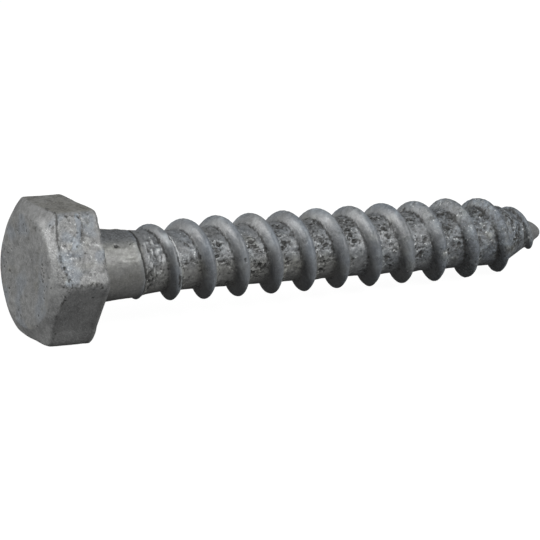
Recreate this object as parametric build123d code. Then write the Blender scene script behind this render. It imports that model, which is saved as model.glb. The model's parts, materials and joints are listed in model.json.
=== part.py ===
from build123d import *
from math import cos, degrees, pi, radians, sin, tan
import os

# Hexagon-head coach screw (wood screw, DIN 571 form), size 8 x 50, hot-dip galvanised.
# Lengths in millimetres, angles in degrees.
#
# The screw is built along +X: x = 0 is the bearing face under the head, the head lies at negative
# x and the point at positive x. It is then laid on the plane z = 0 as it comes to rest: on one
# flat of the head and on the lowest crest of the thread.

# ---- head
across_flats = 12.7
head_height = 5.25
crown_diameter = 10.6  # flat circle on top of the head, inside the chamfer
chamfer_angle = 30.0  # of the chamfer, from the crown
corner_bevel = 0.3  # on the edges between the flats
bearing_bevel = 0.3  # round the bearing face

# ---- shank, core and point
length_under_head = 50.65
neck_flare = 0.4  # cone between the bearing face and the shank
shank_diameter = 6.9
shank_length = 2.5  # from the bearing face to where the shank narrows
core_taper_length = 6.2  # over this length it narrows to the thread's core
core_diameter = 5.7
point_half_angle = 27.5
point_radius = 0.65  # rounded end of the point

# ---- right-hand thread: one ridge wound round the core
thread_diameter = 7.83
pitch = 3.6
flank_angle = 30.0  # of each flank, from the plane across the axis
crest_width = 0.42
first_crest = 4.42  # axial place where the ridge stands out of the shank, on the upper side
growing_length = 9.2  # the ridge reaches its full height over this axial length
runout_length = 9.0  # over this length before the end the ridge gets lower
end_ridge_height = 0.36  # what would be left of it at the end of the point
sinking_length = 0.9  # the ridge goes down into the rounded end over this length
ridge_root_depth = 0.3  # the ridge's foot is sunk this deep into the core

shank_radius = shank_diameter / 2
core_radius = core_diameter / 2
crest_radius = thread_diameter / 2
core_start = shank_length + core_taper_length
ridge_start = first_crest - pitch / 4

point_slope = tan(radians(point_half_angle))
point_center = length_under_head - point_radius  # centre of the rounded end
point_end = point_center + point_radius * sin(radians(point_half_angle))  # where the cone meets it
point_end_radius = point_radius * cos(radians(point_half_angle))
point_start = point_end - (core_radius - point_end_radius) / point_slope


def smooth_step(value):
    """From 0 to 1, level at both ends."""
    value = min(max(value, 0.0), 1.0)
    return value * value * (3 - 2 * value)


def body_radius(x):
    """Radius of the turned body without its ridge, at the distance x from the bearing face."""
    tapered = shank_radius + (core_radius - shank_radius) * (x - shank_length) / core_taper_length
    on_point = point_end_radius - point_slope * (x - point_end)
    return min(shank_radius, max(tapered, core_radius), on_point)


def ridge_height(x):
    """Height of the ridge above the core: lower towards the point, and sunk at its very end."""
    full = crest_radius - core_radius
    lowered = min(max(1 - (length_under_head - x) / runout_length, 0.0), 1.0)
    height = full + (end_ridge_height - full) * lowered
    sunk = smooth_step(1 - (point_end - x) / sinking_length)
    return height - (height + 0.05) * sunk


def crest_radius_at(x):
    """Radius of the crest at x. The ridge grows out of the shank and ends in the point."""
    grown = smooth_step((x - ridge_start) / growing_length)
    sunk_start = body_radius(ridge_start) - 0.05
    growing = sunk_start + (crest_radius - sunk_start) * grown
    return min(growing, body_radius(x) + ridge_height(x))


def ridge_section(turns):
    """Corners of the ridge's section, from foot to foot, in the half-plane through the axis."""
    middle = first_crest + pitch * turns
    top = crest_radius_at(middle)
    foot = min(body_radius(middle) - ridge_root_depth, top - 0.05)
    half_crest = crest_width / 2
    half_foot = half_crest + (top - foot) * tan(radians(flank_angle))
    outline = [(-half_foot, foot), (-half_crest, top), (half_crest, top), (half_foot, foot)]
    angle = 2 * pi * turns
    return [Vector(middle + offset, -radius * sin(angle), radius * cos(angle)) for offset, radius in outline]


def ridge():
    """The thread's ridge: ruled faces between its long edges, in equal spans, and two flat ends."""
    first_turn = (ridge_start - first_crest) / pitch
    last_turn = (point_end - first_crest) / pitch
    spans = round((last_turn - first_turn) / 1.25)  # each about one and a quarter turns long
    steps = 14  # intervals along each edge of one span
    faces = []
    for span in range(spans):
        sections = []
        for step in range(steps + 1):
            done = (span + step / steps) / spans
            sections.append(ridge_section(first_turn + (last_turn - first_turn) * done))
        edges = [Spline(list(corners)) for corners in zip(*sections)]
        for side, edge in enumerate(edges):
            faces.append(Face.make_surface_from_curves(edge, edges[(side + 1) % len(edges)]))
    for turn in (first_turn, last_turn):
        faces.append(Face(Wire(Polyline(ridge_section(turn), close=True))))
    return Solid(Shell(faces))


def turned_body():
    """Shank with its flared neck, core and point, revolved about the axis and reaching into the head."""
    neck = shank_radius + neck_flare
    inside_head = -head_height / 2
    profile = [
        *Polyline(
            (length_under_head, 0),
            (inside_head, 0),
            (inside_head, neck),
            (0, neck),
            (neck_flare, shank_radius),
            (shank_length, shank_radius),
            (core_start, core_radius),
            (point_start, core_radius),
            (point_end, point_end_radius),
        ).edges(),
        RadiusArc((point_end, point_end_radius), (length_under_head, 0), point_radius),
    ]
    return revolve(make_face(profile), Axis.X)


def head():
    """Hexagon with one flat below, bevelled edges and a conical chamfer round its crown."""
    hexagon = RegularPolygon(across_flats / 2, 6, major_radius=False)
    block = extrude(Plane.YZ * hexagon, -head_height)
    block = chamfer(block.edges().filter_by(Axis.X), corner_bevel)
    block = chamfer(block.faces().sort_by(Axis.X)[-1].edges(), bearing_bevel)
    crown_radius = crown_diameter / 2
    reach = across_flats * 0.6  # just outside the corners
    chamfer_depth = (reach - crown_radius) * tan(radians(chamfer_angle))
    envelope = Polyline(
        (0, 0),
        (-head_height, 0),
        (-head_height, crown_radius),
        (-head_height + chamfer_depth, reach),
        (0, reach),
        close=True,
    )
    return block & revolve(make_face(envelope), Axis.X)


def reach_down(tilt):
    """How far the head and the thread reach below the axis's start when the point is lowered by tilt."""
    head_reach = across_flats / 2 * cos(tilt) - bearing_bevel * sin(tilt)
    thread_reach = 0.0
    below = first_crest + pitch / 2  # crests on the underside
    while below < point_end:
        reach = crest_radius_at(below) * cos(tilt) + (below + crest_width / 2) * sin(tilt)
        thread_reach = max(thread_reach, reach)
        below += pitch
    return head_reach, thread_reach


def resting_tilt():
    """Angle in radians at which head and thread touch one plane, found by halving."""
    low, high = 0.0, pi / 6
    while high - low > 1e-7:
        tilt = (low + high) / 2
        head_reach, thread_reach = reach_down(tilt)
        if thread_reach < head_reach:
            low = tilt
        else:
            high = tilt
    return low


screw = head() + turned_body() + ridge()
tilt = resting_tilt()
lying = Rot(0, degrees(tilt), 0) * screw
extent = lying.bounding_box()
# The origin is the middle of the footprint, on the surface that the screw lies on.
coach_screw = Pos(-(extent.min.X + extent.max.X) / 2, 0, reach_down(tilt)[0]) * lying

os.makedirs("parts", exist_ok=True)
export_step(coach_screw, "parts/coach_screw.step")
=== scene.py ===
"""A hot-dip galvanised coach screw, lying on a pale floor.

The screw's skin is one mesh of rings round its axis, from the crown of the head to the point. It has
the solid's sizes, and what the zinc bath left on them: rounded edges, lumps, a run on one flat, pits,
and craters in the bottom of the thread. Sizes are in millimetres in the screw's own axes: x runs from
the bearing face towards the point, and angles run round the axis, from the upper side (0) by the front
(90 degrees) to the underside (180 degrees).
"""
import json
import math

import bpy
import numpy as np
from mathutils import Matrix, Vector


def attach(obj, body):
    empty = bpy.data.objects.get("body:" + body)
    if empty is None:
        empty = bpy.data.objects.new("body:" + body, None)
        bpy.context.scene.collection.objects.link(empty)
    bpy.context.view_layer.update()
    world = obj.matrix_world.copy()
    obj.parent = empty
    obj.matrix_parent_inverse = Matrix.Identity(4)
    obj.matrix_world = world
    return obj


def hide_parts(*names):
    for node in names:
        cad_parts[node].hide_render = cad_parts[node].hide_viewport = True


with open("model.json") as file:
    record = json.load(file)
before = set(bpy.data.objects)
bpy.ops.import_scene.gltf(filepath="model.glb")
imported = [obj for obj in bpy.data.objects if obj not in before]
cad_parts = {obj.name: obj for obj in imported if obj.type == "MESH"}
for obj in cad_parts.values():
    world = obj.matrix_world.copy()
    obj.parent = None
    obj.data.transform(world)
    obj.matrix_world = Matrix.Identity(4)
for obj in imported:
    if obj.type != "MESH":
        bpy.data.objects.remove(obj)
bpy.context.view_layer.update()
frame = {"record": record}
mounts = {mount["name"]: mount for mount in frame["record"]["mounts"]}
MM = 0.001

# ---- sizes of the screw, in millimetres
HEAD_HEIGHT = mounts["hex_drive"]["dims"]["length_mm"]
CREST_RADIUS = mounts["wood_thread"]["dims"]["r_mm"]
ACROSS_FLATS = 12.7
CORNER_SHARPNESS = 34  # a higher power makes the corners of the hexagon sharper
UPPER_CORNER, FRONT_CORNER, LOWER_CORNER = 30, 90, 150  # of the hexagon on the front, in degrees
CROWN_RADIUS = 5.3
CHAMFER_SLOPE = math.tan(math.radians(30))
BEARING_BEVEL = 0.3
NECK_FLARE = 0.4
SHANK_RADIUS = 3.45
SHANK_LENGTH = 2.5
CORE_RADIUS = 2.85
CORE_TAPER_LENGTH = 6.2
LENGTH = 50.65
POINT_SLOPE = math.tan(math.radians(27.5))
POINT_RADIUS = 0.65
PITCH = 3.6
FIRST_CREST = 4.42
GROWING_LENGTH = 9.2
START_DEPTH = 0.05  # the ridge starts this far under the shank's surface
RUNOUT_LENGTH = 9.0
END_RIDGE_HEIGHT = 0.36
SINKING_LENGTH = 0.9
END_DEPTH = 0.3  # the ridge ends this far under the point's surface
CREST_ROUNDING = 3.0  # the ridge's section is a hyperbola, and a larger value gives it a blunter crest
HEAD_SIDE, POINT_SIDE = 12.0, 11.5  # the squared slopes of its flanks: it is wider towards the point
ROOT_FILLET = 0.1  # zinc in the corner between ridge and core
RIDGE_START = FIRST_CREST - PITCH / 4

POINT_CENTER = LENGTH - POINT_RADIUS
POINT_END = POINT_CENTER + POINT_RADIUS * math.sin(math.atan(POINT_SLOPE))
POINT_END_RADIUS = POINT_RADIUS * math.cos(math.atan(POINT_SLOPE))

# ---- fineness of the mesh
HEAD_COLUMNS = 384
BODY_COLUMNS = 192
CROWN_RINGS, CHAMFER_RINGS, FLAT_RINGS, BEARING_RINGS, TIP_RINGS = 38, 11, 34, 13, 6
SHANK_STEP = 0.17
THREAD_STEP = 0.137
THREAD_STEPS_FROM = 4
HALF_COLUMNS_FROM = 48.4
ON_HEAD = 0.02  # what has a smaller x belongs to the head
HEAD_RELAXING, BODY_RELAXING, RELAXING_ROUNDS = 0.5, 0.15, 2


# ---- helpers on arrays
def ramp(start, end, value):
    """0 at start and before it, 1 at end and after it. The start may also be the larger of the two."""
    t = np.clip((value - start) / (end - start), 0, 1)
    return t * t * (3 - 2 * t)


def window(value, rise, fall):
    """1 between the end of the rise and the start of the fall, 0 before the rise and after the fall."""
    return ramp(*rise, value) * ramp(fall[1], fall[0], value)


def hump(distance, width, strength=1.0):
    """1 at no distance and 0 from the width on. A strength above 1 flattens its top."""
    return np.clip(strength * (1 - (distance / width) ** 2), 0, 1)


def peak(distance, width):
    """1 at no distance and 0 from the width on, with straight sides."""
    return np.clip(1 - np.abs(distance) / width, 0, 1)


def smooth_max(a, b, width):
    """The larger of the two, with the corner where they cross rounded over about this width."""
    return (a + b + np.sqrt((a - b) ** 2 + width**2)) / 2


class Noise:
    """Gradient noise in three dimensions, between about -1 and 1, the same on every run."""

    def __init__(self, seed):
        random = np.random.RandomState(seed)
        self.order = random.permutation(256)
        self.slopes = random.normal(size=(256, 3))
        self.slopes /= np.linalg.norm(self.slopes, axis=1)[:, None]
        self.offset = random.uniform(0, 50, 3)

    def __call__(self, points, size):
        """Noise at the points. size is the width of one lump, or one width for each axis."""
        place = points / np.broadcast_to(size, 3) + self.offset
        cell = np.floor(place).astype(int)
        inside = place - cell
        ease = inside**3 * (inside * (inside * 6 - 15) + 10)
        total = np.zeros(len(points))
        for corner in np.ndindex(2, 2, 2):
            key = self.order[(cell[:, 0] + corner[0]) & 255]
            key = self.order[(key + cell[:, 1] + corner[1]) & 255]
            key = self.order[(key + cell[:, 2] + corner[2]) & 255]
            slope = np.einsum("ij,ij->i", self.slopes[key], inside - corner)
            weight = np.prod(np.where(corner, ease, 1 - ease), axis=1)
            total += weight * slope
        return total * 1.6

    def layers(self, points, size, count=3):
        """Several noises, each half as wide and half as strong as the one before."""
        return sum(self(points + 7.3 * i, np.array(size) / 2**i) / 2**i for i in range(count))


SLOW, MIDDLING, FINE = Noise(3), Noise(11), Noise(29)


def craters(places, spacing, seed, radii=(0.2, 0.45), share=0.6):
    """Hollows scattered over a plane or in space, one or none in each cell: 1 inside one, 0 outside.

    The radii are the smallest and the largest, in cells, and the share is that of cells with a hollow.
    """
    place = places / spacing
    cell = np.floor(place).astype(int)
    width = place.shape[1]
    deepest = np.zeros(len(place))
    for step in np.ndindex(*[3] * width):
        home = cell + np.array(step) - 1
        key = np.full(len(place), seed * 7919)
        for along, factor in zip(home.T, (73856093, 19349663, 83492791)):
            key ^= along * factor
        key ^= key >> 13
        draws = [((key * factor + 12345) % 10007) / 10007 for factor in (7, 131, 1543, 3571, 6113)]
        centre = home + np.stack(draws[:width], axis=1)
        radius = radii[0] + (radii[1] - radii[0]) * draws[3]
        hollow = hump(np.linalg.norm(place - centre, axis=1), radius, 1.3)
        deepest = np.maximum(deepest, hollow * (draws[4] < share))
    return deepest


# ---- the screw's shape
def hexagon_radius(angle):
    """Distance from the axis to the flats, with rounded corners. One flat is above, one below."""
    half = ACROSS_FLATS / 2
    facing = [np.clip(np.cos(angle - math.radians(60 * i)), 0, 1) / half for i in range(6)]
    return sum(f**CORNER_SHARPNESS for f in facing) ** (-1 / CORNER_SHARPNESS)


def chamfer_end(angle):
    """x of the edge between the chamfer and the flats."""
    return -HEAD_HEIGHT + (hexagon_radius(angle) - CROWN_RADIUS) * CHAMFER_SLOPE


def body_radius(x):
    """The turned body without its ridge."""
    neck = SHANK_RADIUS + np.clip(NECK_FLARE - x, 0, None)
    tapered = SHANK_RADIUS + (CORE_RADIUS - SHANK_RADIUS) * (x - SHANK_LENGTH) / CORE_TAPER_LENGTH
    on_point = POINT_END_RADIUS - POINT_SLOPE * (x - POINT_END)
    return np.minimum(np.minimum(neck, np.maximum(tapered, CORE_RADIUS)), on_point)


def crest_radius(x):
    """Radius of the crest at x. The ridge grows out of the shank and gets lower towards the point."""
    full = CREST_RADIUS - CORE_RADIUS
    lowered = np.clip(1 - (LENGTH - x) / RUNOUT_LENGTH, 0, 1)
    height = full + (END_RIDGE_HEIGHT - full) * lowered
    sunk = 1 - ramp(0, SINKING_LENGTH, POINT_END - x)
    start = body_radius(RIDGE_START) - START_DEPTH
    growing = start + (CREST_RADIUS - start) * ramp(0, GROWING_LENGTH, x - RIDGE_START)
    return np.minimum(growing, body_radius(x) + height - (height + END_DEPTH) * sunk)


def to_crest(x, angle):
    """Axial distance from the nearest crest, from minus to plus half a pitch."""
    turns = (x - FIRST_CREST) / PITCH - angle / (2 * math.pi)
    return (turns - np.round(turns)) * PITCH


def in_groove(x, angle):
    """Places in the thread's bottom: across it from its middle, and along it, in millimetres."""
    turns = (x - FIRST_CREST) / PITCH - 0.5 - angle / (2 * math.pi)
    whole = np.round(turns)
    along = (whole + angle / (2 * math.pi)) * 2 * math.pi * CORE_RADIUS
    return np.stack([(turns - whole) * PITCH, along], axis=1)


def ridge_radius(across, top):
    """Radius of the ridge alone, at an axial distance from its crest."""
    steepness = np.where(across < 0, HEAD_SIDE, POINT_SIDE)
    return top + CREST_ROUNDING - np.sqrt(CREST_ROUNDING**2 + steepness * across**2)


def skin_radius(x, angle):
    """Radius of the threaded body."""
    across = to_crest(x, angle)
    middle = x - across
    top = crest_radius(middle)
    ridge = ridge_radius(across, top)
    body = body_radius(x)
    risen = ramp(0, PITCH / 4, middle - RIDGE_START + PITCH / 8)
    return body + (smooth_max(body, ridge, ROOT_FILLET) - body) * risen


def follow_thread(x, angle):
    """Moves ring places along the axis so that steps are even along the thread's slopes."""
    across = np.linspace(-PITCH / 2, PITCH / 2, 400)
    profile = smooth_max(CORE_RADIUS, ridge_radius(across, CREST_RADIUS), ROOT_FILLET)
    length = np.concatenate([[0], np.cumsum(np.hypot(np.diff(across), np.diff(profile)))])
    even = (length / length[-1] - 0.5) * PITCH
    shift = np.interp(to_crest(x, angle), even, across) - to_crest(x, angle)
    return x + shift * window(x, (4, 10), (43, 47))  # not on the shank, nor on the point


# ---- rings of the mesh, from the crown's centre to the end of the point
def angles(columns):
    return np.arange(columns) * (2 * math.pi / columns)


def head_rings():
    """Crown, chamfer, flats and bearing face, as (x, radius) arrays."""
    rings = []
    for radius in np.linspace(0.2, CROWN_RADIUS - 0.1, CROWN_RINGS):
        columns = HEAD_COLUMNS // (8 if radius < 0.9 else 4 if radius < 1.8 else 2 if radius < 3.2 else 1)
        rings.append((np.full(columns, -HEAD_HEIGHT), np.full(columns, radius)))
    flat = hexagon_radius(angles(HEAD_COLUMNS))
    edge = chamfer_end(angles(HEAD_COLUMNS))
    for share in np.linspace(0, 1, CHAMFER_RINGS + 1)[:-1]:
        x = -HEAD_HEIGHT + (edge + HEAD_HEIGHT) * share
        rings.append((x, CROWN_RADIUS + (flat - CROWN_RADIUS) * share))
    for share in np.linspace(0, 1, FLAT_RINGS):
        rings.append((edge + (-BEARING_BEVEL - edge) * share, flat))
    rings.append((np.full(HEAD_COLUMNS, -BEARING_BEVEL / 2), flat - BEARING_BEVEL / 2))
    inner = (flat - BEARING_BEVEL)[::HEAD_COLUMNS // BODY_COLUMNS]
    neck = SHANK_RADIUS + NECK_FLARE
    for share in np.linspace(0, 1, BEARING_RINGS):
        rings.append((np.zeros(BODY_COLUMNS), inner + (neck - inner) * share))
    return rings


def body_rings():
    """Shank, thread and point, as (x, radius) arrays."""
    rings = []
    on_shank = np.arange(SHANK_STEP, THREAD_STEPS_FROM, SHANK_STEP)
    on_thread = np.arange(THREAD_STEPS_FROM, POINT_END, THREAD_STEP)
    for place in np.concatenate([on_shank, on_thread]):
        columns = BODY_COLUMNS if place < HALF_COLUMNS_FROM else BODY_COLUMNS // 2
        around = angles(columns)
        x = follow_thread(np.full(columns, place), around)
        rings.append((x, skin_radius(x, around)))
    for share in np.linspace(0, 1, TIP_RINGS + 2)[1:-1]:
        tilt = math.atan(POINT_SLOPE) * (1 - share) + math.pi / 2 * share
        columns = BODY_COLUMNS // (2 if share < 0.5 else 4)
        x = POINT_CENTER + POINT_RADIUS * math.sin(tilt)
        rings.append((np.full(columns, x), np.full(columns, POINT_RADIUS * math.cos(tilt))))
    return rings


def stitch(first, first_count, second, second_count):
    """Faces between two neighbouring rings with as many, or half or twice as many, columns."""
    i = np.arange(min(first_count, second_count))
    following = (i + 1) % len(i)
    if first_count == second_count:
        quads = np.stack([first + i, second + i, second + following, first + following], axis=1)
        return quads.tolist()
    if first_count > second_count:
        left, middle = first + 2 * i, first + 2 * i + 1
        right = first + (2 * i + 2) % first_count
        near, far = second + i, second + following
        sides = [(left, near, middle), (middle, near, far), (middle, far, right)]
    else:
        left, middle = second + 2 * i, second + 2 * i + 1
        right = second + (2 * i + 2) % second_count
        near, far = first + i, first + following
        sides = [(near, left, middle), (near, middle, far), (far, middle, right)]
    return [face for side in sides for face in np.stack(side, axis=1).tolist()]


def skin_mesh():
    """Vertices as (x, radius, angle) rows, and faces."""
    rings = head_rings() + body_rings()
    rows = [np.array([[-HEAD_HEIGHT, 0, 0]])]
    faces = []
    start = 1
    for index, (x, radius) in enumerate(rings):
        count = len(x)
        rows.append(np.stack([x, radius, angles(count)], axis=1))
        i = np.arange(count)
        following = (i + 1) % count
        if index == 0:
            faces += np.stack([np.zeros(count, int), start + i, start + following], axis=1).tolist()
        else:
            faces += stitch(start - len(rings[index - 1][0]), len(rings[index - 1][0]), start, count)
        start += count
    rows.append(np.array([[LENGTH, 0, 0]]))
    last = start - count
    faces += np.stack([last + following, last + i, np.full(count, start)], axis=1).tolist()
    return np.concatenate(rows), [face[::-1] for face in faces]


def to_points(rows):
    """Points in the screw's axes from (x, radius, angle) rows."""
    x, radius, angle = rows.T
    return np.stack([x, -radius * np.sin(angle), radius * np.cos(angle)], axis=1)


def edge_ends(faces):
    """Both ends of every edge of every face."""
    pairs = [(face[i - 1], face[i]) for face in faces for i in range(len(face))]
    return np.array(pairs).T


def relax(points, ends, weight, rounds):
    """Moves each point towards the mean of its neighbours, by its weight."""
    count = np.bincount(np.concatenate(ends), minlength=len(points))[:, None]
    for _ in range(rounds):
        total = np.zeros_like(points)
        for axis in range(3):
            total[:, axis] = np.bincount(ends[0], points[ends[1], axis], len(points))
            total[:, axis] += np.bincount(ends[1], points[ends[0], axis], len(points))
        points = points + weight[:, None] * (total / count - points)
    return points


def normals_of(points, faces):
    mesh = bpy.data.meshes.new("normals")
    mesh.from_pydata(points.tolist(), [], faces)
    flat = np.zeros(len(points) * 3, np.float32)
    mesh.vertex_normals.foreach_get("vector", flat)
    bpy.data.meshes.remove(mesh)
    return flat.reshape(-1, 3).astype(float)


# ---- the zinc
class Skin:
    """The screw's surface, how far the zinc stands out from it, and the masks that its colour follows.

    The masks go from 0 to 1. The dirt mask is dark and dull: dirt, and in places painted shade. Pale is a
    bloom of fresh zinc, and in places a painted highlight. The glint mask is a painted highlight, the
    brightest.
    Blue and warm are tints. Gloss is smooth, grain is speckled and rough, and pitted has small dark holes.
    """

    MASKS = ("dirt", "pale", "blue", "warm", "gloss", "grain", "pitted", "glint")

    def __init__(self, rows, points):
        self.x, self.radius, self.angle = rows.T
        self.degrees = np.degrees(self.angle)
        self.turn = (self.degrees + 180) % 360 - 180  # the same angle, from -180 to 180 degrees
        self.points = points
        wobble = []
        for i in range(1, 4):
            moved = points + 40 * i
            wobble.append(0.14 * MIDDLING(moved, 0.7) + 0.05 * FINE(moved, 0.25))
        self.crooked = points + np.stack(wobble, axis=1)  # distances from these give uneven outlines
        self.out = np.zeros(len(points))  # how far the zinc stands out
        self.masks = {name: np.zeros(len(points)) for name in self.MASKS}
        self.head = (self.x < ON_HEAD) * 1.0
        self.flats = self.head * ramp(-5.0, -4.6, self.x)
        self.crown = self.head * (self.x < -HEAD_HEIGHT + 0.02)
        self.shank = window(self.x, (0.1, 0.6), (5.3, 5.9))

    def point(self, x, degrees, radius=None):
        """The point at a place on the skin. Places on the crown have a radius too."""
        angle = math.radians(degrees)
        if radius is None:
            radius = float(hexagon_radius(angle) if x < 0 else skin_radius(np.array([x]), angle)[0])
        return np.array([x, -radius * math.sin(angle), radius * math.cos(angle)])

    def mark(self, **amounts):
        """Adds to the masks, within 0 and 1."""
        for name, amount in amounts.items():
            self.masks[name] = np.clip(self.masks[name] + amount, 0, 1)

    def near(self, place, size):
        """1 at the place, 0 further off than size."""
        return hump(np.linalg.norm(self.points - self.point(*place), axis=1), size) ** 1.5

    def pit(self, place, size, depth, stain=0.95):
        """A hollow of uneven outline, with dirt in it and a low bright rim."""
        distance = np.linalg.norm(self.crooked - self.point(*place), axis=1) / size
        hollow = hump(distance, 1, 1.15)
        rim = hump(distance - 1.15, 0.4)
        self.out += 0.25 * depth * rim - 1.2 * depth * hollow
        self.mark(dirt=stain * hollow, pale=0.3 * rim, gloss=0.3 * rim)

    def line(self, places):
        """Distance of every point from a line of straight runs through the places."""
        best = np.full(len(self.points), 1e9)
        corners = [self.point(*place) for place in places]
        for start, end in zip(corners, corners[1:]):
            run = end - start
            share = np.clip((self.crooked - start) @ run / (run @ run), 0, 1)
            away = self.crooked - start - share[:, None] * run
            best = np.minimum(best, np.linalg.norm(away, axis=1))
        return best

    def crack(self, places, width, depth, stain=0.9):
        """A dark line along the places."""
        inside = hump(self.line(places), width)
        self.out -= depth * inside
        self.mark(dirt=stain * inside)


# Pits that stand out, as (radius, degrees, size) on the crown and (x, degrees, size) elsewhere
CROWN_PITS = [
    (3.7, 68, 0.17), (3.4, 73, 0.13), (3.95, 78, 0.1), (3.6, 92, 0.19), (4.1, 103, 0.16),
    (4.95, 84, 0.13), (4.5, 94, 0.12), (4.3, 112, 0.12), (3.3, 258, 0.16), (3.4, 295, 0.13),
    (4.4, 276, 0.15), (3.9, 233, 0.17), (4.4, 188, 0.18), (4.6, 290, 0.12), (4.8, 205, 0.13),
    (4.0, 330, 0.12), (2.2, 140, 0.08), (4.6, 140, 0.13),
]
FLAT_PITS = [
    (-2.0, 63, 0.13), (-1.95, 89, 0.12), (-4.42, 75, 0.2), (-4.18, 84, 0.17), (-3.9, 85, 0.14),
    (-4.6, 58, 0.12), (-2.05, 34, 0.16), (-3.2, 33, 0.2), (-2.7, 70, 0.1), (-0.85, 92, 0.15),
    (-1.2, 88, 0.1), (-4.3, 80, 0.12), (-3.4, 112, 0.1), (-1.6, 100, 0.14), (-2.4, 118, 0.08),
    (-4.1, 138, 0.13), (-0.9, 70, 0.1), (-1.4, 47, 0.1),
]
THREAD_PITS = [
    (10.6, 47, 0.2), (10.15, 85, 0.28), (10.95, 81, 0.18), (13.8, 51, 0.36), (13.4, 74, 0.26),
    (14.0, 85, 0.24), (15.0, 137, 0.22), (17.35, 51, 0.34), (17.65, 60, 0.28), (15.9, 84, 0.18),
    (18.05, 98, 0.32), (18.3, 107, 0.28), (17.3, 114, 0.3), (20.95, 14, 0.28), (20.25, 42, 0.2),
    (20.8, 60, 0.34), (20.55, 69, 0.3), (21.0, 99, 0.28), (19.55, 86, 0.14), (24.9, 14, 0.3),
    (24.8, 57, 0.34), (25.2, 69, 0.26), (25.15, 102, 0.28), (24.9, 120, 0.32), (28.1, 13, 0.36),
    (27.95, 40, 0.34), (28.15, 52, 0.36), (28.4, 66, 0.32), (28.3, 102, 0.2), (31.7, 12, 0.32),
    (31.85, 44, 0.36), (32.15, 63, 0.32), (32.0, 104, 0.22), (32.7, 125, 0.26), (35.15, 25, 0.38),
    (35.85, 332, 0.3), (36.15, 71, 0.22), (35.75, 99, 0.36), (35.65, 104, 0.3), (39.05, 16, 0.36),
    (39.7, 31, 0.3), (38.8, 54, 0.3), (39.9, 87, 0.34), (42.8, 15, 0.36), (43.1, 29, 0.36),
    (44.35, 111, 0.22), (47.0, 85, 0.32), (46.4, 88, 0.22), (46.3, 50, 0.16), (45.3, 100, 0.18),
    (47.2, 60, 0.16),
]
POINT_PITS = [(46.6, 78, 0.24), (46.2, 66, 0.16), (46.9, 97, 0.18), (46.5, 45, 0.16), (45.9, 35, 0.2)]

# Lobes where zinc ran down and set below four of the turns (x, degrees, height)
LOBES = [(24.7, 165, 0.12), (31.9, 165, 0.1), (35.5, 165, 0.14), (38.95, 165, 0.12)]


def coat_head(skin):
    """The whole head: low lumps, some grain, and faint stains."""
    points, head = skin.points, skin.head
    skin.out += head * (0.03 * SLOW(points, 3.2) + 0.014 * MIDDLING(points, 1.1))
    skin.mark(grain=head * 0.22, gloss=head * (0.48 + 0.22 * SLOW(points + 5, 2.0)))
    skin.mark(dirt=head * 0.16 * ramp(0.1, 0.7, MIDDLING.layers(points + 64, 1.4)))


def coat_front_flat(skin):
    """The upper front flat took most zinc: it is lumpy, and thick and rippled near the upper corner."""
    points, degrees = skin.points, skin.degrees
    front = skin.flats * ramp(UPPER_CORNER - 2, UPPER_CORNER + 4, degrees)
    front *= ramp(FRONT_CORNER + 1, FRONT_CORNER - 3, degrees)
    lumpy = MIDDLING.layers(points + 3, 1.0)
    skin.out += front * (0.07 * lumpy + 0.03 * FINE.layers(points, 0.45, 2))
    thick = front * skin.near((-3.4, 40), 1.5)
    ripples = np.abs(FINE(skin.crooked + 9, 0.8))
    skin.out += thick * (0.05 - 0.2 * ripples)
    skin.mark(pale=front * (0.2 + 0.75 * ramp(-0.15, 0.6, lumpy)) + 0.3 * thick)
    skin.mark(gloss=front * 0.3, grain=0.3 * front, pitted=front * 0.16)
    skin.mark(blue=front * ramp(0.0, 0.5, SLOW(points + 60, 1.5)) * 0.9)
    skin.mark(warm=front * ramp(0.05, 0.6, SLOW(points + 90, 1.3)) * 0.7)
    blots = craters(skin.crooked, 0.7, 71, radii=(0.12, 0.3), share=0.6) * front
    skin.out -= 0.05 * blots
    skin.mark(dirt=0.6 * blots)


def coat_run(skin):
    """A run of zinc from the upper corner down the flat: a bluish tongue between a crease and a rim."""
    path = [(-2.2, 33), (-2.2, 42), (-2.35, 48), (-2.75, 54), (-3.05, 58)]

    def beside_path(shift):
        """Distance from the path, moved along the screw by the shift."""
        return skin.line([(along + shift, degrees) for along, degrees in path])

    tongue = hump(beside_path(0), 0.32 + 0.08 * FINE(skin.points + 70, 0.8), 1.6)
    crease = hump(beside_path(0.34), 0.13)
    rim = hump(beside_path(-0.4), 0.13)
    skin.out += 0.04 * tongue + 0.09 * rim - 0.1 * crease
    skin.mark(blue=1.6 * tongue, pale=0.1 * tongue, warm=-tongue, grain=-0.4 * tongue)
    skin.mark(dirt=0.95 * crease * ramp(-0.5, 0.1, FINE(skin.points + 71, 0.7)))
    skin.mark(pale=0.8 * rim, gloss=0.5 * rim)
    skin.pit((-2.15, 33), 0.22, 0.09, 0.7)
    skin.pit((-3.1, 35), 0.2, 0.06, 0.5)


def coat_beads(skin):
    """Zinc that drained and set: at the lower corners, and on the front edge with the bearing face."""
    x, degrees = skin.x, skin.degrees
    bead = hump(degrees - LOWER_CORNER - 2, 16) * ramp(-5.2, -4.2, x) * skin.head
    skin.out += 0.15 * bead * ramp(5, 6.5, skin.radius)
    skin.out += 0.08 * skin.head * skin.near((-5.0, 222), 2.0)
    rolled = ramp(-0.7, -0.1, x) * window(degrees, (0, 20), (138, 158))
    skin.out += skin.head * rolled * (0.1 + 0.08 * ramp(70, 120, degrees))


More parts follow.
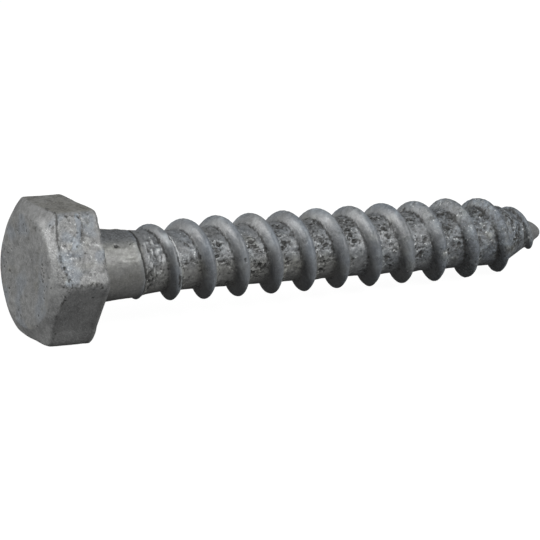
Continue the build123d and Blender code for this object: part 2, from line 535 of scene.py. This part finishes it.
def coat_edges(skin):
    """Dirt and small pits along the front edges of the flats."""
    x, degrees, head = skin.x, skin.degrees, skin.head
    from_chamfer = x - chamfer_end(skin.angle)
    uneven = 0.55 + 0.9 * FINE(skin.points, 0.6)
    edge = head * hump(from_chamfer, 0.14) * window(degrees, (12, 26), (110, 158))
    corner = skin.flats * hump(degrees - FRONT_CORNER, 1.8)
    skin.out -= 0.04 * edge + 0.03 * corner * uneven
    lined = ramp(75, 45, degrees)
    stain = edge * np.clip(uneven + 0.25 * lined, 0, 1) * (0.6 + 0.3 * lined)
    skin.mark(dirt=stain + corner * np.clip(uneven, 0, 1) * 0.6)
    beside = head * peak(from_chamfer, 0.6) * ramp(45, 65, degrees)
    beside += skin.flats * peak(degrees - FRONT_CORNER + 2, 6)
    beside *= ramp(130, 95, degrees)
    small = craters(skin.crooked, 0.33, 23, radii=(0.22, 0.45), share=0.8)
    skin.out -= 0.05 * small * beside
    skin.mark(dirt=0.7 * small * beside, pitted=0.5 * beside)

    # A smooth lip on the chamfer, beside the crown, pale and glossy: a painted highlight on the upper front
    lip = head * (from_chamfer < 0) * window(degrees, (18, 30), (76, 110))
    lip *= ramp(0.75, 0.3, np.abs(skin.radius - CROWN_RADIUS - 0.2))
    skin.mark(pale=0.6 * lip, gloss=0.5 * lip)


def coat_crown(skin):
    """Crown: pits and specks in patches near its edge, a smudge, tints. Also the pits on the flats."""
    points, crown = skin.points, skin.crown
    for radius, degrees, size in CROWN_PITS:
        skin.pit((-HEAD_HEIGHT, degrees, radius), 1.15 * size, 0.5 * size)
    for *place, size in FLAT_PITS:
        skin.pit(place, size, 0.5 * size)
    outer = crown * ramp(2.4, 4.2, skin.radius)
    face_on = skin.crooked[:, 1:]
    patches = SLOW(points + 14, 1.8)
    specks = craters(face_on, 0.5, 57, radii=(0.12, 0.24), share=0.4) * ramp(-0.1, 0.3, patches)
    specks = specks * outer + 0.8 * craters(face_on, 0.9, 58, radii=(0.06, 0.13), share=0.5) * crown
    skin.out -= 0.04 * specks
    skin.mark(pitted=0.25 * outer * ramp(-0.1, 0.4, patches))
    skin.mark(dirt=0.9 * specks, warm=0.6 * crown * ramp(0.1, 0.6, SLOW(points + 40, 1.6)))
    skin.mark(dirt=0.5 * skin.near((-HEAD_HEIGHT, 21, 4.75), 0.5))
    skin.mark(blue=0.5 * crown * ramp(0, 0.5, SLOW(points + 20, 2.2)))


def coat_other_flats(skin):
    """Top flat: browner and darker, partly painted shade. Lower front flat: fine scratches along it."""
    points, degrees = skin.points, skin.degrees
    top = skin.head * ramp(UPPER_CORNER - 0.5, UPPER_CORNER - 1.5, np.abs(skin.turn))
    top *= skin.x > chamfer_end(skin.angle)
    # Darker, partly painted shade, and browner
    skin.mark(dirt=0.22 * top * (1 + MIDDLING(points, 1.0)), warm=0.9 * top)
    lower = skin.flats * ramp(FRONT_CORNER, FRONT_CORNER + 2, degrees)
    lower *= ramp(LOWER_CORNER, LOWER_CORNER - 2, degrees)
    scratch = peak(FINE(points + 15, (2.6, 0.5, 0.22)), 0.06)
    skin.mark(dirt=lower * 0.45 * scratch * ramp(0, 0.5, MIDDLING(points + 33, 1.3)))


def coat_shank(skin):
    """Shank: fine wrinkles, a painted highlight band on the upper front, painted shade on top, a deep pit.
    """
    points, degrees, shank = skin.points, skin.degrees, skin.shank
    wrinkles = FINE.layers(points, (0.5, 0.3, 0.3))
    upper = window(degrees, (34, 50), (66, 88))
    skin.out += shank * (0.02 * MIDDLING(points, 0.9) + (0.006 + 0.028 * upper) * wrinkles)
    skin.mark(gloss=shank * 0.6, grain=shank * (0.1 + 0.15 * upper))
    skin.mark(warm=shank * ramp(28, 56, degrees) * (0.5 + 0.3 * SLOW(points, 2)))
    # A band of paler zinc, and pale wrinkle tops, on the upper front: a painted highlight
    painted_highlight_band = window(degrees, (26, 54), (62, 95))
    skin.mark(pale=shank * (0.6 * painted_highlight_band + 0.3 * upper * ramp(-0.2, 0.4, wrinkles)))
    # Darker and bluer towards the top: painted shade
    painted_shade_top = shank * ramp(54, 26, degrees)
    skin.mark(dirt=0.3 * painted_shade_top, blue=0.35 * painted_shade_top)
    creased = shank * skin.near((3.6, 58), 1.1)
    creased *= FINE.layers(skin.crooked + 8, (0.35, 0.35, 0.35), 2)
    skin.out += 0.05 * creased
    skin.mark(pale=0.9 * np.clip(creased, 0, 1))
    skin.pit((2.92, 46), 0.24, 0.18, 1.2)
    skin.pit((3.35, 50), 0.13, 0.05, 0.6)
    skin.pit((4.4, 43), 0.15, 0.06, 0.8)
    bead = skin.near((4.7, 46), 0.3)
    skin.out += 0.1 * bead
    skin.mark(pale=bead, gloss=bead)


def coat_thread_start(skin):
    """The rolled thread begins at a line round the front, with a cut along it and a low lip before it."""
    x, turn = skin.x, skin.turn
    line = np.interp(turn, (-20, 15, 50, 80, 105, 150), (5.55, 5.4, 5.25, 5.5, 5.85, 6.1))
    line += 0.05 * MIDDLING(skin.points + 12, 1.2)
    around = window(turn, (-60, -20), (140, 165))
    width = 0.15 + 0.1 * window(turn, (15, 35), (85, 110))
    cut = hump(x - line, width, 1.3) * around
    lip = hump(x - line + 0.3, 0.3) * around

    # Before the line, zinc fills the taper up to the shank's radius
    before = window(turn, (10, 40), (140, 165)) * ramp(line + 0.08, line - 0.12, x)
    filled = before * skin.shank * np.clip(SHANK_RADIUS - 0.02 - skin.radius, 0, 0.3)
    skin.out += filled + 0.015 * lip - 0.1 * cut
    skin.mark(dirt=0.95 * cut, blue=0.4 * lip)


class Thread:
    """Where the skin's points lie on the thread."""

    def __init__(self, skin):
        self.here = ramp(5.3, 6.3, skin.x)  # 1 from the thread's start on
        self.across = to_crest(skin.x, skin.angle)  # from the nearest crest, positive towards the point
        self.crest_x = skin.x - self.across
        core = body_radius(skin.x)
        height = np.maximum(crest_radius(self.crest_x) - core, 0.25)
        self.ridge = np.clip((skin.radius - core) / height, 0, 1) * self.here  # 1 on the crest, 0 below
        self.foot = np.sqrt(((height + CREST_ROUNDING) ** 2 - CREST_ROUNDING**2) / HEAD_SIDE)
        self.bottom = ramp(0.25, 0.05, self.ridge) * self.here * ramp(48.8, 47.5, skin.x)
        self.groove = in_groove(skin.x, skin.angle) + (skin.crooked - skin.points)[:, :2]

        # The thread unwound: across it, round it, and a third coordinate that keeps the turns apart
        turns = (self.crest_x - FIRST_CREST) / PITCH
        around = skin.radius * 2 * math.pi * turns
        self.unwound = np.stack([self.across, around, 9 * np.round(turns)], axis=1)


def coat_bottom(skin, thread):
    """Swellings and lobes on the ridge. In the bottom, craters and a crust whose pale lumps are partly
    painted highlight.
    """
    points, crooked, x, degrees = skin.points, skin.crooked, skin.x, skin.degrees
    here, ridge, bottom, groove = thread.here, thread.ridge, thread.bottom, thread.groove
    skin.out += here * ridge * (0.035 * SLOW(points + 31, 2.4) + 0.014 * MIDDLING(points, 0.8))
    for *place, height in LOBES:
        skin.out += height * skin.near(place, 1.4)

    # The relief is low in the shank's taper, on the underside and towards the point
    patches = ramp(-0.35, 0.2, SLOW(points + 77, 1.6))
    below = ramp(125, 165, np.abs(skin.turn))
    relief = bottom * (1 - 0.75 * below) * (1 - 0.5 * ramp(42, 46, x)) * ramp(6.5, 9.5, x)
    crust = FINE.layers(crooked, 0.42, 2)
    creases = peak(MIDDLING.layers(crooked + 30, 0.6, 2), 0.15) * patches
    hollows = craters(groove, 0.7, 5, radii=(0.16, 0.32), share=0.4) * patches
    nicks = craters(groove, 0.4, 17, radii=(0.18, 0.36), share=0.4)
    nicks *= ramp(-0.1, 0.4, SLOW(points + 7, 1.1))
    skin.out += relief * (0.04 * MIDDLING(points, 0.9) + (0.015 + 0.03 * patches) * crust)
    skin.out -= relief * (0.03 * creases + 0.1 * hollows + 0.06 * nicks)
    stain = (0.12 * creases + 0.6 * hollows + 0.6 * nicks) * bottom * (1 - 0.4 * below)
    skin.mark(dirt=(relief > 0.2) * stain)
    skin.mark(grain=0.2 + 0.15 * SLOW(points + 28, 2.0) + 0.8 * bottom * (0.25 + 0.75 * patches))
    skin.mark(grain=0.2 * ridge)
    # Pale lumps of the crust, more in a band on the upper front, which is a painted highlight
    painted_highlight_band = window(degrees, (22, 54), (75, 115))
    bloom_and_highlight = ramp(-0.1, 0.4, crust) * (0.25 + 0.65 * painted_highlight_band)
    skin.mark(pale=bottom * bloom_and_highlight * ramp(6.5, 8.5, x))

    # Pits, each among a cluster of smaller ones
    cluster = np.zeros(len(points))
    for *place, size in THREAD_PITS:
        skin.pit(place, 0.85 * size, 0.5 * size)
        cluster = np.maximum(cluster, skin.near(place, 2.4 * size))
    small = craters(groove, 0.3, 31, radii=(0.25, 0.48), share=0.75) * ramp(0.02, 0.25, cluster)
    skin.out -= 0.08 * small * relief
    skin.mark(dirt=0.8 * small * here + 0.1 * np.sqrt(cluster))
    skin.mark(pitted=bottom * (0.1 + 0.35 * patches + 0.7 * np.sqrt(cluster)) * (1 - 0.6 * below))


def coat_folds(skin, thread):
    """Thin folds at the foot of the ridge on the side of the point, and a dark crease on the other side."""
    x, degrees, across, foot, unwound = skin.x, skin.degrees, thread.across, thread.foot, thread.unwound
    before_point = ramp(46, 43, x)
    after = hump(across - foot - 0.12, 0.35) * thread.here * before_point
    folds = FINE.layers(unwound, (0.16, 1.1, 1.0), 2)
    skin.out += 0.06 * after * folds
    skin.mark(pale=after * ramp(0.1, 0.5, folds) * 0.9)
    skin.mark(dirt=after * ramp(-0.2, -0.5, folds) * 0.8)

    # A seam: a broken bright line between two dark ones. It lies beyond the foot, but on the first turn
    # it lies higher, on the flank, and has a painted glint on the upper front.
    first_turn = ramp(10.2, 9.2, thread.crest_x)
    seam_place = foot + 0.16 + (0.22 - foot) * first_turn
    wave = 0.1 * FINE(unwound, (5, 1.3, 1.0)) + 0.07 * FINE(unwound, (5, 0.5, 1.0))
    seam = across - seam_place - wave
    strength = thread.here * (0.3 + 0.7 * first_turn) * before_point * window(degrees, (20, 45), (120, 150))
    gaps = FINE(unwound + 5, (5, 0.9, 1.0))
    bright = hump(seam, 0.15, 1.5) * ramp(-0.3, 0.1, gaps)
    dark = hump(np.abs(seam - 0.03) - 0.24, 0.11, 1.5)
    dark *= ramp(-0.2, 0.2, FINE(unwound + 8, (5, 0.8, 1.0)))
    skin.out += strength * ((0.19 - 0.13 * first_turn) * bright - 0.1 * dark)
    skin.mark(pale=1.5 * bright * strength, grain=0.9 * bright * strength)
    skin.mark(gloss=bright * strength, dirt=dark * strength)
    # The glint on the first turn is painted, on the upper front
    painted_glint_place = first_turn * thread.here * ramp(-0.1, 0.3, gaps) * window(degrees, (20, 45), (80, 98))
    skin.mark(glint=0.9 * bright * painted_glint_place)

    # The crease is darkened, partly with painted shade.
    # It is deeper and darker on the upper side, up to the late turns
    crease = hump(across + foot + 0.04, 0.15) * thread.here
    upper = ramp(100, 50, degrees) * ramp(42, 32, x)
    skin.out -= 0.035 * crease * upper
    skin.mark(dirt=crease * np.clip(0.45 + 0.35 * upper + 0.4 * SLOW(skin.points + 23, 1.5), 0, 0.8))


def coat_first_groove(skin, thread):
    """First groove: zinc dragged along it in streaks, with cracks."""
    points, degrees, bottom = skin.points, skin.degrees, thread.bottom
    first = window(skin.x, (5.7, 6.0), (7.6, 8.4)) * window(degrees, (15, 40), (115, 140))
    drawn = FINE.layers(points + 0.3 * (skin.crooked - points) + 2, (0.15, 0.9, 0.9), 2)
    skin.out += bottom * first * 0.13 * drawn
    # Painted highlights: the glints, and partly the pale streaks, which fade towards the underside
    skin.mark(pale=first * ramp(0.02, 0.35, drawn) * ramp(125, 95, degrees))
    skin.mark(gloss=0.3 * first)
    skin.mark(dirt=0.45 * first * bottom * ramp(-0.15, -0.4, drawn))
    skin.mark(glint=0.4 * first * bottom * ramp(0.28, 0.55, drawn) * ramp(110, 85, degrees))
    skin.crack([(6.3, 92), (6.05, 103), (6.35, 112)], 0.13, 0.1)
    skin.crack([(6.75, 106), (6.6, 120), (6.3, 134)], 0.1, 0.08)
    skin.crack([(6.0, 45), (6.35, 56)], 0.12, 0.08)


def coat_ridge(skin, thread):
    """Tints and gloss: the ridge is bluish, and brighter and glossier on the flank towards the head."""
    points, x, here, ridge, bottom = skin.points, skin.x, thread.here, thread.ridge, thread.bottom
    skin.mark(blue=(0.9 * ridge + 0.5 * bottom) * (0.75 + 0.6 * SLOW(points + 11, 2.2)))
    point_flank = ramp(-0.25 * thread.foot, 0.1 * thread.foot, thread.across) * ridge
    skin.mark(gloss=here * (0.8 + 0.1 * bottom + 0.2 * SLOW(points + 16, 1.5) - 0.8 * point_flank))
    head_flank = ramp(0.06, 0.3, ridge) * (1 - 0.8 * point_flank)
    skin.mark(pale=0.5 * head_flank * ramp(-0.3, 0.5, MIDDLING.layers(points + 18, 1.6)))
    skin.mark(warm=here * ramp(0.2, 0.7, SLOW(points + 44, 1.8)) * 0.6 * (1 - 0.5 * ridge))
    low = window(skin.degrees, (70, 105), (150, 170)) * ramp(30, 25, x) * bottom
    skin.mark(warm=0.6 * low, blue=-0.5 * low)

    # From the middle on, parts of the ridge are weathered
    weathered = ridge * ramp(26, 36, x) * ramp(-0.1, 0.5, SLOW(points + 66, 1.8))
    skin.out += 0.02 * weathered * FINE(points, 0.3)
    skin.mark(grain=0.8 * weathered, pale=0.6 * weathered * ramp(-0.2, 0.4, FINE(points, 0.5)))
    skin.mark(pitted=0.2 * weathered, warm=0.4 * weathered)

    # A painted highlight on the first full turn, and two dull, darker places further on
    painted_highlight_spot = here * skin.near((8.25, 42), 0.9) * ramp(0.2, 0.5, ridge)
    dull = here * (skin.near((26.4, 50), 1.5) + skin.near((38.4, 60), 1.7))
    skin.mark(pale=0.9 * painted_highlight_spot, glint=0.2 * painted_highlight_spot, dirt=0.32 * dull, gloss=-0.4 * dull)


def coat_late_turns(skin, thread):
    """The last turns are rougher, duller and mottled with dirt. Single specks sit on all of the ridge."""
    points, ridge = skin.points, thread.ridge
    late = thread.here * window(skin.x, (33, 44), (47, 49))
    mottled = MIDDLING.layers(points + 51, 0.9)
    skin.out += 0.03 * late * ridge * FINE.layers(points + 52, 0.4, 2)
    skin.mark(grain=0.55 * late, pitted=0.16 * late, gloss=-0.25 * late, blue=0.4 * late)
    skin.mark(dirt=late * (0.17 + 0.14 * ramp(-0.1, 0.4, mottled)))
    skin.mark(warm=0.5 * late * ramp(0.1, 0.5, -mottled))
    crest_specks = craters(skin.crooked, 1.0, 91, radii=(0.07, 0.16), share=0.5) * ridge
    skin.out -= 0.05 * crest_specks
    skin.mark(dirt=0.8 * crest_specks)


def coat_point(skin):
    """Point: a dirty crease before the last turn, a swelling near the end, and dents."""
    crease = np.interp(skin.turn, (-20, 15, 50, 130), (47.1, 47.5, 47.88, 48.1))
    crease += 0.06 * MIDDLING(skin.points, 0.8)
    cut = hump(skin.x - crease, 0.11, 1.1) * window(skin.turn, (-30, 0), (110, 140))
    skin.out -= 0.05 * cut
    skin.mark(dirt=0.6 * cut)
    skin.out += 0.12 * skin.near((49.7, 0), 0.9)
    for *place, size in POINT_PITS:
        skin.pit(place, size, 0.07, 0.9)


def coat(skin):
    """All that the zinc bath left, one after another: later coats add to the masks of earlier ones."""
    for part in (coat_head, coat_front_flat, coat_run, coat_beads, coat_edges, coat_crown):
        part(skin)
    for part in (coat_other_flats, coat_shank, coat_thread_start):
        part(skin)
    thread = Thread(skin)
    for part in (coat_bottom, coat_folds, coat_first_groove, coat_ridge, coat_late_turns):
        part(skin, thread)
    coat_point(skin)


def add_object(name, data):
    thing = bpy.data.objects.new(name, data)
    bpy.context.scene.collection.objects.link(thing)
    return thing


def row_frame():
    """From the screw's axes in millimetres to the row frame in metres."""
    seat = mounts["bearing_face"]
    along = Vector(seat["axis"])
    up = along.cross(Vector((0, 1, 0)))
    turn = Matrix((along, (0, 1, 0), up)).transposed()
    return Matrix.Translation(seat["pos_m"]) @ turn.to_4x4() @ Matrix.Scale(MM, 4)


def galvanised_screw():
    """The screw's mesh, with the skin's masks as attributes. It stands for the solid."""
    rows, faces = skin_mesh()
    relaxing = np.where(rows[:, 0] < ON_HEAD, HEAD_RELAXING, BODY_RELAXING)
    points = relax(to_points(rows), edge_ends(faces), relaxing, RELAXING_ROUNDS)
    skin = Skin(rows, points)
    coat(skin)
    points = points + normals_of(points, faces) * skin.out[:, None]

    mesh = bpy.data.meshes.new("galvanised_screw")
    mesh.from_pydata(points.tolist(), [], faces)
    mesh.transform(row_frame())
    for vertex in mesh.vertices:  # the zinc is flat where the head stands on the floor
        vertex.co.z = max(vertex.co.z, 0.0)
    mesh.shade_smooth()
    for name, values in skin.masks.items():
        layer = mesh.attributes.new(name, "FLOAT", "POINT")
        layer.data.foreach_set("value", values.astype(np.float32))
    screw = add_object("galvanised_screw", mesh)
    mesh.materials.append(zinc_material())
    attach(screw, "root")
    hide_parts("coach_screw")
    return screw


# ---- materials
GREY = (0.112, 0.113, 0.112, 1)
DARK_GREY = (0.08, 0.081, 0.081, 1)
BLUISH = (0.086, 0.099, 0.116, 1)
WARM = (0.098, 0.095, 0.084, 1)
PALE = (0.22, 0.225, 0.222, 1)
PALE_BLUISH = (0.196, 0.223, 0.244, 1)
PALE_WARM = (0.234, 0.238, 0.202, 1)
# A painted glint: the brightest colour, which stands in for highlights
PAINTED_GLINT_COLOUR = (0.46, 0.47, 0.47, 1)
# Dirt, and painted shade where the dirt mask puts it
DIRT_AND_SHADE_COLOUR = (0.012, 0.012, 0.011, 1)
FACE_ON_TINT = (0.052, 0.052, 0.052, 1)  # weakens reflections seen face on, and not those at a low angle
BUMP_DISTANCE = 0.00006


class Nodes:
    """Short calls that add and join shader nodes."""

    def __init__(self, material):
        material.use_nodes = True
        self.tree = material.node_tree
        self.tree.nodes.clear()

    def add(self, kind, **inputs):
        node = self.tree.nodes.new(kind)
        for name, value in inputs.items():
            self.set(node, name.replace("_", " "), value)
        return node

    def set(self, node, name, value):
        """Joins the value to the node's input if it is a socket, and otherwise writes it there."""
        socket = node.inputs[name]
        if isinstance(value, bpy.types.NodeSocket):
            self.tree.links.new(value, socket)
        else:
            socket.default_value = value

    def mask(self, name):
        """One of the skin's masks."""
        node = self.add("ShaderNodeAttribute")
        node.attribute_name = name
        return node.outputs["Fac"]

    def here(self):
        """The shaded point, in metres in the object's own axes."""
        return self.add("ShaderNodeTexCoord").outputs["Object"]

    def noise(self, scale, detail=3, roughness=0.5):
        """Noise with this many lumps to a metre."""
        node = self.add("ShaderNodeTexNoise", Vector=self.here(), Scale=scale, Detail=detail)
        self.set(node, "Roughness", roughness)
        return node.outputs["Fac"]

    def math(self, operation, a, b=0.0):
        node = self.tree.nodes.new("ShaderNodeMath")
        node.operation = operation
        self.set(node, 0, a)
        self.set(node, 1, b)
        return node.outputs[0]

    def times(self, a, b):
        return self.math("MULTIPLY", a, b)

    def span(self, value, low, high, to_low=0.0, to_high=1.0):
        """The value, moved from one range to another and kept within it."""
        node = self.add("ShaderNodeMapRange", Value=value)
        for name, number in zip(("From Min", "From Max", "To Min", "To Max"), (low, high, to_low, to_high)):
            self.set(node, name, number)
        return node.outputs["Result"]

    def mix(self, factor, first, second):
        """The first colour at a factor of 0, the second at 1."""
        node = self.tree.nodes.new("ShaderNodeMix")
        node.data_type = "RGBA"
        self.set(node, 0, factor)
        self.set(node, 6, first)  # inputs 6 and 7 are the node's colours
        self.set(node, 7, second)
        return node.outputs[2]


def pinholes(nodes):
    """Small dark holes with ragged rims, in some of the cells of a bent pattern: 1 inside one."""
    cells_per_metre, bending = 2600.0, 0.00022
    where = nodes.here()
    bend = nodes.add("ShaderNodeTexNoise", Vector=where, Scale=5000.0).outputs["Color"]
    bent = nodes.tree.nodes.new("ShaderNodeVectorMath")
    bent.operation = "MULTIPLY_ADD"
    for index, value in enumerate((bend, (bending,) * 3, where)):
        nodes.set(bent, index, value)
    cells = nodes.add("ShaderNodeTexVoronoi", Vector=bent.outputs[0], Scale=cells_per_metre)
    chance = nodes.add("ShaderNodeSeparateColor", Color=cells.outputs["Color"]).outputs["Red"]
    chosen = nodes.math("LESS_THAN", chance, nodes.times(nodes.mask("pitted"), 0.65))
    radius = nodes.span(chance, 0.0, 0.5, 0.42, 0.26)
    inside = nodes.span(nodes.math("SUBTRACT", cells.outputs["Distance"], radius), 0.0, -0.16)
    return nodes.times(inside, chosen)


def zinc_colour(nodes, holes):
    """Bluish to brownish greys, pale blooms and specks, painted glints, dirt in the hollows, and painted
    shade.
    """
    mask, noise, span, times, mix = nodes.mask, nodes.noise, nodes.span, nodes.times, nodes.mix

    # Tints of the dark zinc and of the light zinc
    broad = span(noise(420, 4, 0.6), 0.35, 0.65)
    colour = mix(broad, GREY, DARK_GREY)
    colour = mix(times(mask("blue"), 0.8), colour, BLUISH)
    colour = mix(times(mask("warm"), span(broad, 0, 1, 0.3, 0.8)), colour, WARM)
    light = mix(mask("blue"), PALE, PALE_BLUISH)
    light = mix(times(mask("warm"), span(broad, 0, 1, 0.4, 1.0)), light, PALE_WARM)

    # Blooms and specks of light zinc, mottles of dirt, and painted glints: bright flecks and the glint mask
    cloud = span(noise(1100, 4, 0.65), 0.4, 0.62)
    colour = mix(times(mask("pale"), span(cloud, 0, 1, 0.35, 1.0)), colour, light)
    grain = mask("grain")
    specks = span(noise(5200, 3, 0.7), 0.5, 0.72)
    colour = mix(times(specks, span(grain, 0, 1, 0.15, 0.7)), colour, light)
    mottle = span(noise(1900, 4, 0.7), 0.58, 0.36)
    colour = mix(times(mottle, span(grain, 0, 1, 0.12, 0.7)), colour, DIRT_AND_SHADE_COLOUR)
    painted_glint_flecks = times(span(noise(3300, 3, 0.6), 0.59, 0.67), span(grain, 0.4, 0.9))
    painted_glint_flecks = times(painted_glint_flecks, span(mask("pale"), 0.05, 0.5, 0.0, 0.85))
    colour = mix(nodes.math("MAXIMUM", painted_glint_flecks, mask("glint")), colour, PAINTED_GLINT_COLOUR)

    # Dirt in the holes, and dirt and painted shade where the mask has it, with ragged edges
    colour = mix(times(holes, span(mask("pitted"), 0, 0.6, 0.45, 0.9)), colour, DIRT_AND_SHADE_COLOUR)
    ragged = span(noise(4200, 2, 0.6), 0.25, 0.75, -0.35, 0.35)
    dirt = span(nodes.math("ADD", mask("dirt"), ragged), 0.2, 0.75, 0.0, 0.95)
    return mix(dirt, colour, DIRT_AND_SHADE_COLOUR)


def zinc_roughness(nodes):
    """Smoother where the gloss is high, rougher in dirt, and a little uneven everywhere."""
    rough = nodes.span(nodes.mask("gloss"), 0, 1, 0.54, 0.26)
    rough = nodes.math("ADD", rough, nodes.span(nodes.noise(1500, 3), 0.3, 0.7, -0.05, 0.07))
    return nodes.math("ADD", rough, nodes.times(nodes.mask("dirt"), 0.25))


def zinc_bump(nodes, holes):
    """The finest grain, and the small holes, which are too small for the mesh."""
    relief = nodes.times(nodes.noise(3800, 4, 0.7), nodes.span(nodes.mask("grain"), 0, 1, 0.3, 2.8))
    relief = nodes.math("SUBTRACT", relief, nodes.times(holes, 1.5))
    bump = nodes.add("ShaderNodeBump", Height=relief, Strength=0.6, Distance=BUMP_DISTANCE)
    return bump.outputs["Normal"]


def zinc_material():
    """Matt zinc that follows the skin's masks."""
    material = bpy.data.materials.new("galvanised_steel")
    nodes = Nodes(material)
    holes = pinholes(nodes)
    shader = nodes.add("ShaderNodeBsdfPrincipled", IOR=3.0, Specular_IOR_Level=1.0)
    nodes.set(shader, "Specular Tint", FACE_ON_TINT)
    nodes.set(shader, "Base Color", zinc_colour(nodes, holes))
    nodes.set(shader, "Roughness", zinc_roughness(nodes))
    nodes.set(shader, "Normal", zinc_bump(nodes, holes))
    nodes.add("ShaderNodeOutputMaterial", Surface=shader.outputs["BSDF"])
    return material


# ---- stage
WHITE = (1, 1, 1, 1)
FLOOR_HALF = 1.5  # metres
FLOOR_GREY = (0.05, 0.05, 0.05, 1)
FLOOR_GLOW = 0.97  # seen directly; the lamps' light on the floor adds the rest, but not in the shadow
WORLD_GLOW = 0.02  # what the surroundings throw on the screw
CAMERA_AZIMUTH, CAMERA_ELEVATION = -28.73, 15.16  # degrees
CAMERA_DISTANCE = 516.75  # millimetres
CAMERA_LENS = 362  # millimetres

# What the camera and the lamps face
TARGET = Vector(mounts["bearing_face"]["pos_m"]) + Vector((20.638, 0, -2.924)) * MM


def seen_directly(nodes):
    """1 for rays from the camera, or from a mirror or glass, and 0 for light on its way to the object."""
    path = nodes.add("ShaderNodeLightPath")
    seen = nodes.math("MAXIMUM", path.outputs["Is Camera Ray"], path.outputs["Is Glossy Ray"])
    return nodes.math("MAXIMUM", seen, path.outputs["Is Transmission Ray"])


def choose(nodes, otherwise, directly):
    """The second shader where it is seen directly, the first for all other light."""
    choice = nodes.add("ShaderNodeMixShader", Fac=seen_directly(nodes))
    nodes.set(choice, 1, otherwise.outputs[0])
    nodes.set(choice, 2, directly.outputs[0])
    return choice.outputs[0]


def pale_floor():
    """A dark floor that glows white where it is seen directly, and keeps the screw's shadow."""
    mesh = bpy.data.meshes.new("floor")
    corners = [(-FLOOR_HALF, -FLOOR_HALF, 0), (FLOOR_HALF, -FLOOR_HALF, 0)]
    corners += [(FLOOR_HALF, FLOOR_HALF, 0), (-FLOOR_HALF, FLOOR_HALF, 0)]
    mesh.from_pydata(corners, [], [(0, 1, 2, 3)])
    floor = add_object("floor", mesh)
    material = bpy.data.materials.new("pale_floor")
    nodes = Nodes(material)
    surface = nodes.add("ShaderNodeBsdfDiffuse", Color=FLOOR_GREY)
    glow = nodes.add("ShaderNodeEmission", Color=WHITE, Strength=FLOOR_GLOW)
    both = nodes.add("ShaderNodeAddShader")
    nodes.set(both, 0, surface.outputs[0])
    nodes.set(both, 1, glow.outputs[0])
    nodes.add("ShaderNodeOutputMaterial", Surface=choose(nodes, surface, both))
    mesh.materials.append(material)


def studio_world():
    """White where it is seen directly, and nearly dark for the light on the screw."""
    world = bpy.data.worlds.new("studio")
    bpy.context.scene.world = world
    nodes = Nodes(world)
    white = nodes.add("ShaderNodeBackground", Color=WHITE, Strength=1.0)
    dim = nodes.add("ShaderNodeBackground", Color=WHITE, Strength=WORLD_GLOW)
    nodes.add("ShaderNodeOutputWorld", Surface=choose(nodes, dim, white))


def towards(azimuth, elevation):
    """Direction from the target, in degrees from the front and above the floor."""
    a, e = math.radians(azimuth), math.radians(elevation)
    return Vector((math.sin(a) * math.cos(e), -math.cos(a) * math.cos(e), math.sin(e)))


def put(name, data, azimuth, elevation, distance):
    """Adds a lamp or a camera at a distance from the target, facing it."""
    thing = add_object(name, data)
    direction = towards(azimuth, elevation)
    thing.location = TARGET + direction * distance
    thing.rotation_mode = "QUATERNION"
    thing.rotation_quaternion = (-direction).to_track_quat("-Z", "Y")
    return thing


def softbox(name, azimuth, elevation, distance, width, height, power):
    """A rectangular lamp. Lengths are in metres, and the power is in watts."""
    light = bpy.data.lights.new(name, "AREA")
    light.shape = "RECTANGLE"
    light.size, light.size_y = width, height
    light.energy = power
    put(name, light, azimuth, elevation, distance)


def camera():
    data = bpy.data.cameras.new("camera")
    data.sensor_width = 36
    data.lens = CAMERA_LENS
    data.clip_start, data.clip_end = 0.05, 10
    bpy.context.scene.camera = put("camera", data, CAMERA_AZIMUTH, CAMERA_ELEVATION, CAMERA_DISTANCE * MM)


galvanised_screw()
pale_floor()
studio_world()
softbox("left softbox", azimuth=-96, elevation=30, distance=0.6, width=0.42, height=0.28, power=6.8)
softbox("right softbox", azimuth=29, elevation=32, distance=0.6, width=0.42, height=0.24, power=5.9)
camera()
bpy.context.scene.view_settings.view_transform = "Standard"
